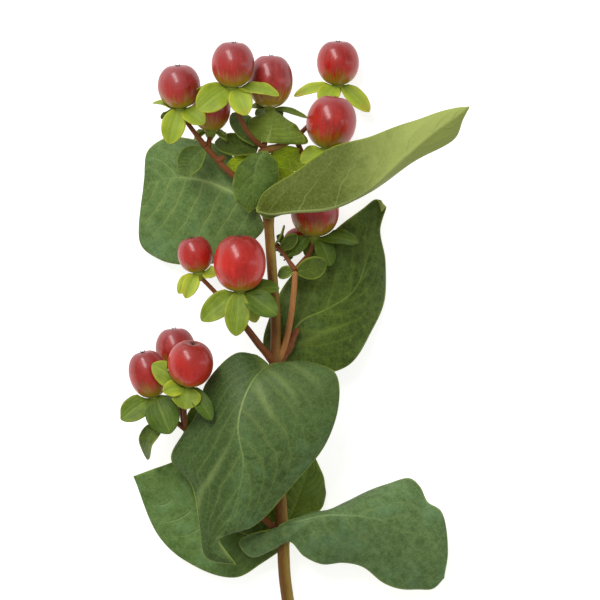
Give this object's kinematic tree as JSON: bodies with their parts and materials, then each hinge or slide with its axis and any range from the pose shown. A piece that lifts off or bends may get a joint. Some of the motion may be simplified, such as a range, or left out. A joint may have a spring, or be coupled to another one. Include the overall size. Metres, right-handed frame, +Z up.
{
  "type": "hypericum berry stem",
  "caption": "Cut branching stem with broad opposite leaves and clusters of glossy red oval berries on leafy sepals, lying flat as a floral filler.",
  "frame": {"origin": "middle of the footprint of the bounding box, on the surface the stem lies on", "axes": "+Y along the stem from its cut end to its top, +Z up from the surface, +X to the right when seen from above with the top ahead"},
  "size_m": [0.0976, 0.1837, 0.0364],
  "materials": {
    "stem": "semi-matt reddish brown young bark, yellow-green along one side",
    "leaf": "satin dark green leaf with paler veins and thin yellow-green margin",
    "young_leaf": "satin fresh green young leaf",
    "sepal": "satin yellow-green sepal with yellow to orange margin",
    "berry": "glossy red fruit skin with a faint mauve bloom near the top"
  },
  "bodies": {
    "root": {"stem": "stem", "leaf_low_right": "leaf", "leaf_low_left": "leaf", "leaf_low_back": "leaf", "leaf_mid_front": "leaf", "leaf_mid_back": "leaf", "leaf_high_right": "leaf", "leaf_high_left": "leaf", "small_leaf_top_front": "young_leaf", "small_leaf_top_back": "young_leaf", "small_leaf_top_left": "young_leaf", "small_leaf_top_blue": "young_leaf", "small_leaf_top_right": "young_leaf", "small_leaf_top_low": "young_leaf", "small_leaf_side_left": "young_leaf", "small_leaf_side_low": "young_leaf", "small_leaf_fork_left": "young_leaf", "small_leaf_fork_right": "young_leaf", "small_leaf_prong_up": "young_leaf", "small_leaf_prong_right": "young_leaf", "small_leaf_low_point": "young_leaf", "small_leaf_low_back": "young_leaf", "berry_top_left": "berry", "calyx_top_left": "sepal", "berry_top_front": "berry", "calyx_top_front": "sepal", "berry_top_low": "berry", "calyx_top_low": "sepal", "berry_top_middle": "berry", "calyx_top_middle": "sepal", "berry_top_right": "berry", "calyx_top_right": "sepal", "berry_top_large": "berry", "calyx_top_large": "sepal", "berry_middle_right": "berry", "calyx_middle_right": "sepal", "berry_middle_front": "berry", "calyx_middle_front": "sepal", "berry_middle_left": "berry", "calyx_middle_left": "sepal", "berry_low_left": "berry", "calyx_low_left": "sepal", "berry_low_front": "berry", "calyx_low_front": "sepal", "berry_low_back": "berry", "calyx_low_back": "sepal", "berry_middle_small": "berry", "calyx_middle_small": "sepal"}
  },
  "joints": []
}
